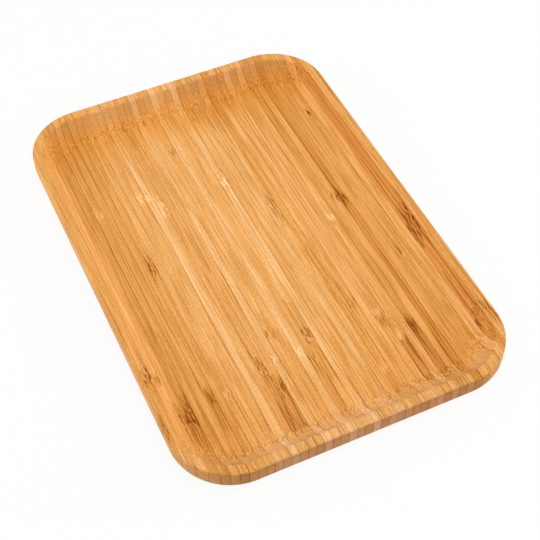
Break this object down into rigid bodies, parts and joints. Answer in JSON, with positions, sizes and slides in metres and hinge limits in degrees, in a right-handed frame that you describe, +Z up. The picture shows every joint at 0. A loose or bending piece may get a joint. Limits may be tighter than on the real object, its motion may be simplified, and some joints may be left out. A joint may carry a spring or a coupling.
{
  "type": "serving tray",
  "caption": "Shallow rectangular bamboo serving tray with rounded corners, a flat rim and a coved well, glued up from side-pressed strips.",
  "frame": {"origin": "centre of the flat base, on the surface that the tray stands on", "axes": "+X across the strips, +Y along the strips and the long side, +Z up out of the well"},
  "size_m": [0.19, 0.28, 0.015],
  "materials": {
    "bamboo_pale": "clear satin",
    "bamboo_honey": "clear satin",
    "bamboo_amber": "clear satin",
    "bamboo_toffee": "clear satin"
  },
  "bodies": {
    "root": {"left_strip_01": "bamboo_honey", "left_strip_02": "bamboo_honey", "left_strip_03": "bamboo_honey", "left_strip_04": "bamboo_amber", "left_strip_05": "bamboo_amber", "left_strip_06": "bamboo_amber", "left_strip_07": "bamboo_amber", "left_strip_08": "bamboo_amber", "left_strip_09": "bamboo_amber", "left_strip_10": "bamboo_honey", "left_strip_11": "bamboo_honey", "left_strip_12": "bamboo_honey", "left_strip_13": "bamboo_pale", "left_strip_14": "bamboo_honey", "left_strip_15": "bamboo_honey", "left_strip_16": "bamboo_honey", "left_strip_17": "bamboo_pale", "left_strip_18": "bamboo_honey", "left_strip_19": "bamboo_honey", "left_strip_20": "bamboo_pale", "left_strip_21": "bamboo_honey", "right_strip_22": "bamboo_honey", "right_strip_21": "bamboo_pale", "right_strip_20": "bamboo_honey", "right_strip_19": "bamboo_honey", "right_strip_18": "bamboo_pale", "right_strip_17": "bamboo_honey", "right_strip_16": "bamboo_amber", "right_strip_15": "bamboo_honey", "right_strip_14": "bamboo_honey", "right_strip_13": "bamboo_honey", "right_strip_12": "bamboo_honey", "right_strip_11": "bamboo_honey", "right_strip_10": "bamboo_amber", "right_strip_09": "bamboo_honey", "right_strip_08": "bamboo_toffee", "right_strip_07": "bamboo_amber", "right_strip_06": "bamboo_amber", "right_strip_05": "bamboo_amber", "right_strip_04": "bamboo_honey", "right_strip_03": "bamboo_toffee", "right_strip_02": "bamboo_honey", "right_strip_01": "bamboo_honey"}
  },
  "joints": []
}
